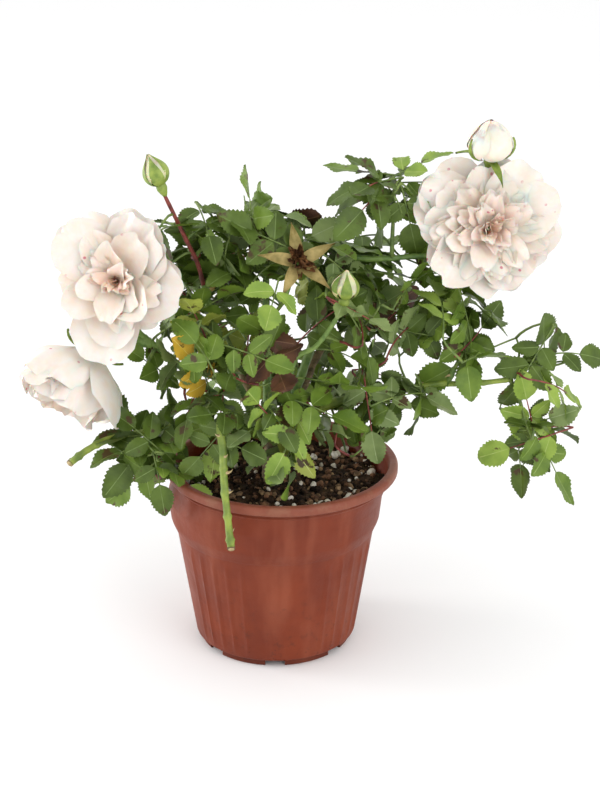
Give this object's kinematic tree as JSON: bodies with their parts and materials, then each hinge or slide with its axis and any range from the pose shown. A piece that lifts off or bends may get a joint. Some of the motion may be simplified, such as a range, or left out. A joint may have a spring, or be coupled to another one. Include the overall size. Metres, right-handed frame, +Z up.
{
  "type": "potted miniature rose bush",
  "caption": "Miniature rose bush in a terracotta-coloured plastic pot, with pale blush double blooms, buds, a long arching side branch and pruned canes.",
  "frame": {"origin": "centre of the pot's flat underside", "axes": "+Z up out of the pot; the bush's fullest side faces -Y; the long arching branch reaches out along +X"},
  "size_m": [0.3382, 0.173, 0.3332],
  "materials": {
    "pot": "matte",
    "soil": "matte",
    "bark": "satin",
    "leaf": "satin",
    "petal": "matte",
    "bud": "satin",
    "spent": "matte"
  },
  "bodies": {
    "root": {"bloom_lower_left": "petal", "bloom_right": "petal", "bloom_upper_left": "petal", "bough_back_left": "bark", "bough_back_right": "bark", "bough_front": "bark", "bough_left": "bark", "bough_right": "bark", "bough_top": "bark", "bough_upper_left": "bark", "bough_upper_right": "bark", "branch_right_arm": "bark", "branch_right_spur": "bark", "branch_upper_right": "bark", "bud_centre": "bud", "bud_left": "bud", "bud_right": "bud", "cane_front": "bark", "cane_front_end": "bark", "cane_left": "bark", "cane_left_end": "bark", "foliage_arm_hanging": "leaf", "foliage_arm_spur": "leaf", "foliage_arm_tip": "leaf", "foliage_back_left": "leaf", "foliage_back_low": "leaf", "foliage_back_right": "leaf", "foliage_front_centre": "leaf", "foliage_front_left": "leaf", "foliage_front_right": "leaf", "foliage_inner_right": "leaf", "foliage_left": "leaf", "foliage_low_centre": "leaf", "foliage_low_front": "leaf", "foliage_low_left": "leaf", "foliage_low_right": "leaf", "foliage_right": "leaf", "foliage_top": "leaf", "foliage_top_left": "leaf", "foliage_top_right": "leaf", "pot": "pot", "pot_rim": "pot", "soil": "soil", "spent_bloom": "spent", "stem": "bark", "stem_bloom_left": "bark", "stem_bloom_low": "bark", "stem_bud_centre": "bark", "stem_bud_left": "bark", "stem_bud_right": "bark", "stem_spent": "bark"}
  },
  "joints": []
}
